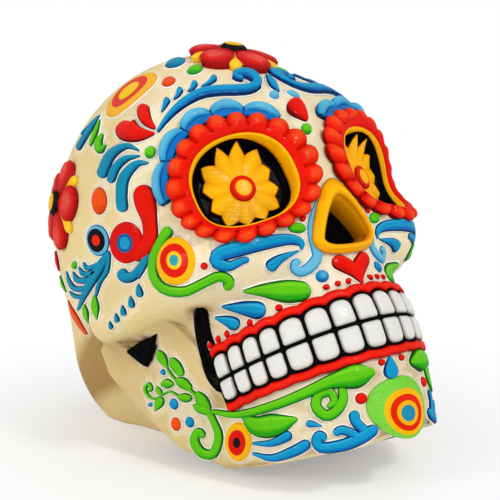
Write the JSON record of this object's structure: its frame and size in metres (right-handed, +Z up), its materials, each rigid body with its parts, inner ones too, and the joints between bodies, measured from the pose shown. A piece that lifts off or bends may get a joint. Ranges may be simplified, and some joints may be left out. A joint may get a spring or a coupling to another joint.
{
  "type": "sugar skull",
  "caption": "Painted skull ornament for a table: a cast cranium and fixed jaw with applied teeth, flower eyes, scalloped eye rims, flowers and scrolls.",
  "frame": {"origin": "middle of the object's footprint, on the table it stands on", "axes": "+Z up; the face looks towards -Y and a little up; +X is the skull's own left side"},
  "size_m": [0.1418, 0.2034, 0.176],
  "materials": {
    "painted_cream": "gloss varnish over paint",
    "tooth_white": "gloss varnish over paint",
    "painted_red": "gloss varnish over paint",
    "painted_orange": "gloss varnish over paint",
    "painted_yellow": "gloss varnish over paint",
    "painted_blue": "gloss varnish over paint",
    "painted_green": "gloss varnish over paint"
  },
  "bodies": {
    "root": {"cranium": "painted_cream", "jaw": "painted_cream", "upper_tooth_left_1": "tooth_white", "upper_tooth_left_2": "tooth_white", "upper_tooth_left_3": "tooth_white", "upper_tooth_left_4": "tooth_white", "upper_tooth_left_5": "tooth_white", "upper_tooth_left_6": "tooth_white", "upper_tooth_left_7": "tooth_white", "upper_tooth_left_8": "tooth_white", "upper_tooth_right_1": "tooth_white", "upper_tooth_right_2": "tooth_white", "upper_tooth_right_3": "tooth_white", "upper_tooth_right_4": "tooth_white", "upper_tooth_right_5": "tooth_white", "upper_tooth_right_6": "tooth_white", "upper_tooth_right_7": "tooth_white", "upper_tooth_right_8": "tooth_white", "lower_tooth_left_1": "tooth_white", "lower_tooth_left_2": "tooth_white", "lower_tooth_left_3": "tooth_white", "lower_tooth_left_4": "tooth_white", "lower_tooth_left_5": "tooth_white", "lower_tooth_left_6": "tooth_white", "lower_tooth_left_7": "tooth_white", "lower_tooth_left_8": "tooth_white", "lower_tooth_right_1": "tooth_white", "lower_tooth_right_2": "tooth_white", "lower_tooth_right_3": "tooth_white", "lower_tooth_right_4": "tooth_white", "lower_tooth_right_5": "tooth_white", "lower_tooth_right_6": "tooth_white", "lower_tooth_right_7": "tooth_white", "lower_tooth_right_8": "tooth_white", "upper_lip": "painted_red", "lower_lip": "painted_red", "forehead_drop": "painted_red", "sunflower_button_left": "painted_red", "sunflower_button_right": "painted_red", "flower_petals_top": "painted_red", "flower_petals_left": "painted_red", "flower_petals_right": "painted_red", "eye_rim_left": "painted_orange", "eye_rim_right": "painted_orange", "nose_rim": "painted_yellow", "flower_leaves_top": "painted_yellow", "flower_button_top": "painted_yellow", "sunflower_left": "painted_yellow", "sunflower_right": "painted_yellow", "flower_leaves_left": "painted_yellow", "flower_leaves_right": "painted_yellow", "flower_button_left": "painted_yellow", "flower_button_right": "painted_yellow", "brow_cloud_left": "painted_blue", "brow_cloud_right": "painted_blue", "brow_scroll_left": "painted_blue", "brow_scroll_right": "painted_blue", "chin_roundel": "painted_green", "jaw_leaf_left": "painted_green", "jaw_leaf_right": "painted_green"}
  },
  "joints": []
}
